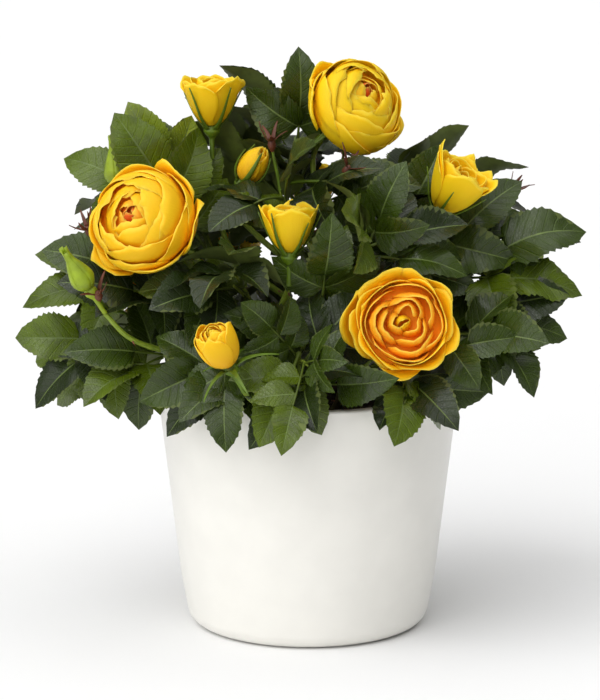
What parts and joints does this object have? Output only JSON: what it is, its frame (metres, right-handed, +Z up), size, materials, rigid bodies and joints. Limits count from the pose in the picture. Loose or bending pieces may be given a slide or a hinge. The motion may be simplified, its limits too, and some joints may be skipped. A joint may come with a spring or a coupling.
{
  "type": "potted rose bush",
  "caption": "Bushy miniature rose with yellow double blooms and buds over dark green leaves, growing from compost in a plain white tapered pot.",
  "frame": {"origin": "centre of the pot's flat underside", "axes": "+Z up the pot's axis; -Y is the front, where the large open blooms face"},
  "size_m": [0.2597, 0.2126, 0.2663],
  "materials": {
    "pot": "satin white glaze",
    "compost": "damp crumbly peat",
    "bark": "smooth green young bark with a few prickles",
    "petals": "velvety yellow petals",
    "green_bud": "matte green sepals",
    "leaf": "glossy dark green leaves"
  },
  "bodies": {
    "root": {"pot": "pot", "compost": "compost", "cane_left": "bark", "cane_front": "bark", "cane_front_right": "bark", "cane_right": "bark", "cane_rear_right": "bark", "cane_rear_left": "bark", "cane_centre": "bark", "stem_of_bloom_left": "bark", "stem_of_bloom_top": "bark", "stem_of_bloom_right": "bark", "stem_of_half_open_top_left": "bark", "stem_of_half_open_middle": "bark", "stem_of_half_open_right": "bark", "stem_of_bud_middle": "bark", "stem_of_bud_low_left": "bark", "stem_of_green_bud_high": "bark", "stem_of_green_bud_low": "bark", "stem_of_bloom_rear_left": "bark", "stem_of_bloom_rear_right": "bark", "stem_of_half_open_rear": "bark", "stem_of_bud_rear": "bark", "bloom_left": "petals", "bloom_top": "petals", "bloom_right": "petals", "half_open_top_left": "petals", "half_open_middle": "petals", "half_open_right": "petals", "bud_middle": "petals", "bud_low_left": "petals", "green_bud_high": "green_bud", "green_bud_low": "green_bud", "bloom_rear_left": "petals", "bloom_rear_right": "petals", "half_open_rear": "petals", "bud_rear": "petals", "leaves_top": "leaf", "leaves_top_right": "leaf", "leaves_left_high": "leaf", "leaves_left_middle": "leaf", "leaves_left_low": "leaf", "leaves_front_left": "leaf", "leaves_front": "leaf", "leaves_front_right": "leaf", "leaves_right_low": "leaf", "leaves_right_middle": "leaf", "leaves_middle": "leaf", "leaves_middle_left": "leaf", "leaves_middle_right": "leaf", "leaves_middle_top": "leaf", "leaves_rear_left_low": "leaf", "leaves_rear_low": "leaf", "leaves_rear_right_low": "leaf", "leaves_rear_left": "leaf", "leaves_rear_middle": "leaf", "leaves_rear_right": "leaf"}
  },
  "joints": []
}
